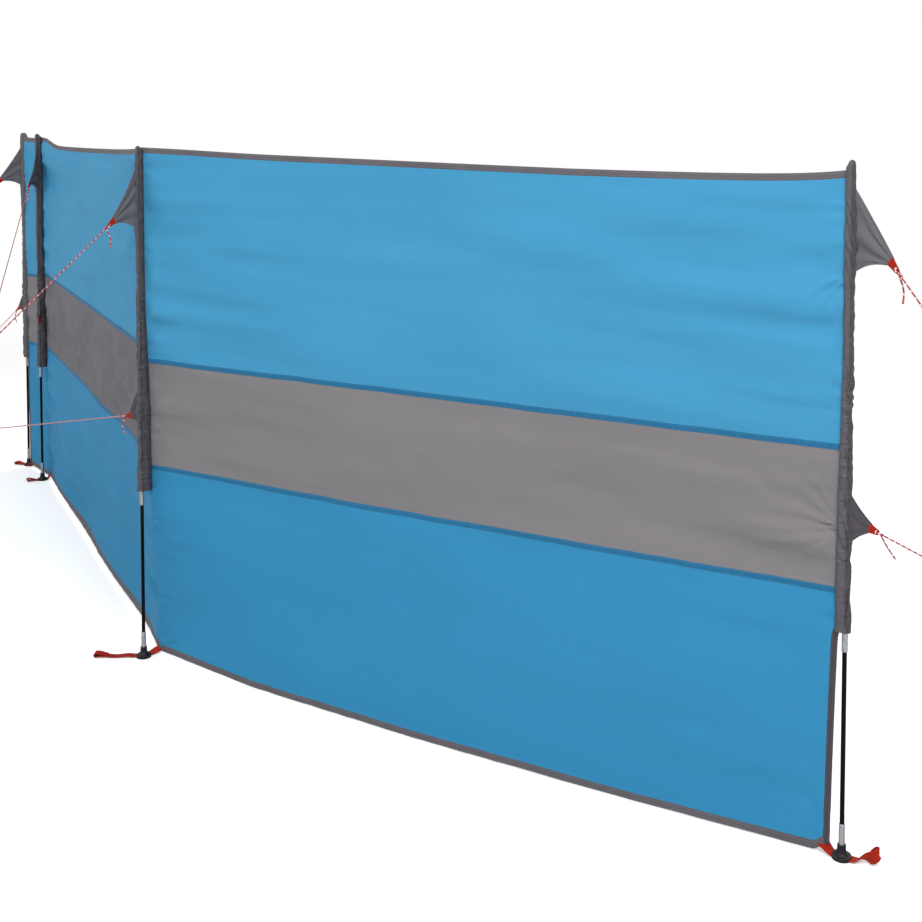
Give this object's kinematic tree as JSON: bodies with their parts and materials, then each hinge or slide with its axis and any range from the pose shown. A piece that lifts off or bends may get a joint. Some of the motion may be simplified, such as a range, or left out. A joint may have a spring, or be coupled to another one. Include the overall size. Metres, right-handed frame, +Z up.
{
  "type": "beach windbreak",
  "caption": "Beach windbreak of cloth bays with a contrasting cross band, sleeved on slim poles with feet and held upright by corded flaps and ground pegs.",
  "frame": {"origin": "centre of the flat underside of the corner pole's foot, on the ground", "axes": "+X along the main bay towards the right pole, +Y behind the cloth, +Z up"},
  "size_m": [6.259, 3.4486, 1.485],
  "materials": {
    "upper_cloth": "blue coated woven polyester",
    "lower_cloth": "blue coated woven polyester",
    "band_cloth": "grey coated woven polyester",
    "hem_tape": "grey folded binding tape",
    "sleeve_cloth": "dark grey woven polyester",
    "flap_cloth": "dark grey woven polyester",
    "red_webbing": "ribbed red webbing",
    "guy_cord": "braided red cord with pale flecks",
    "glass_fibre": "black glass fibre rod",
    "ferrule_metal": "plain bright metal tube",
    "foot_plastic": "black moulded plastic",
    "slider_plastic": "black moulded plastic",
    "peg_steel": "plain steel pin"
  },
  "bodies": {
    "root": {"main_bay_upper_panel": "upper_cloth", "main_bay_band": "band_cloth", "main_bay_lower_panel": "lower_cloth", "main_bay_upper_hem": "hem_tape", "main_bay_lower_hem": "hem_tape", "side_bay_upper_panel": "upper_cloth", "side_bay_band": "band_cloth", "side_bay_lower_panel": "lower_cloth", "side_bay_upper_hem": "hem_tape", "side_bay_lower_hem": "hem_tape", "end_bay_upper_panel": "upper_cloth", "end_bay_band": "band_cloth", "end_bay_lower_panel": "lower_cloth", "end_bay_upper_hem": "hem_tape", "end_bay_lower_hem": "hem_tape", "right_pole_rod": "glass_fibre", "right_pole_ferrules": "ferrule_metal", "right_pole_foot": "foot_plastic", "right_pole_sleeve": "sleeve_cloth", "right_pole_strap": "red_webbing", "right_pole_flaps": "flap_cloth", "right_pole_guys": "guy_cord", "corner_pole_rod": "glass_fibre", "corner_pole_ferrules": "ferrule_metal", "corner_pole_foot": "foot_plastic", "corner_pole_sleeve": "sleeve_cloth", "corner_pole_strap": "red_webbing", "corner_pole_flaps": "flap_cloth", "corner_pole_guys": "guy_cord", "far_pole_rod": "glass_fibre", "far_pole_ferrules": "ferrule_metal", "far_pole_foot": "foot_plastic", "far_pole_sleeve": "sleeve_cloth", "far_pole_strap": "red_webbing", "far_pole_flaps": "flap_cloth", "far_pole_guys": "guy_cord", "end_pole_rod": "glass_fibre", "end_pole_ferrules": "ferrule_metal", "end_pole_foot": "foot_plastic", "end_pole_sleeve": "sleeve_cloth", "end_pole_strap": "red_webbing", "end_pole_flaps": "flap_cloth", "end_pole_guys": "guy_cord", "corner_seam": "lower_cloth", "far_seam": "lower_cloth", "right_edge_binding": "hem_tape", "end_edge_binding": "hem_tape", "flap_tabs": "red_webbing", "guy_sliders": "slider_plastic", "ground_pegs": "peg_steel"}
  },
  "joints": []
}
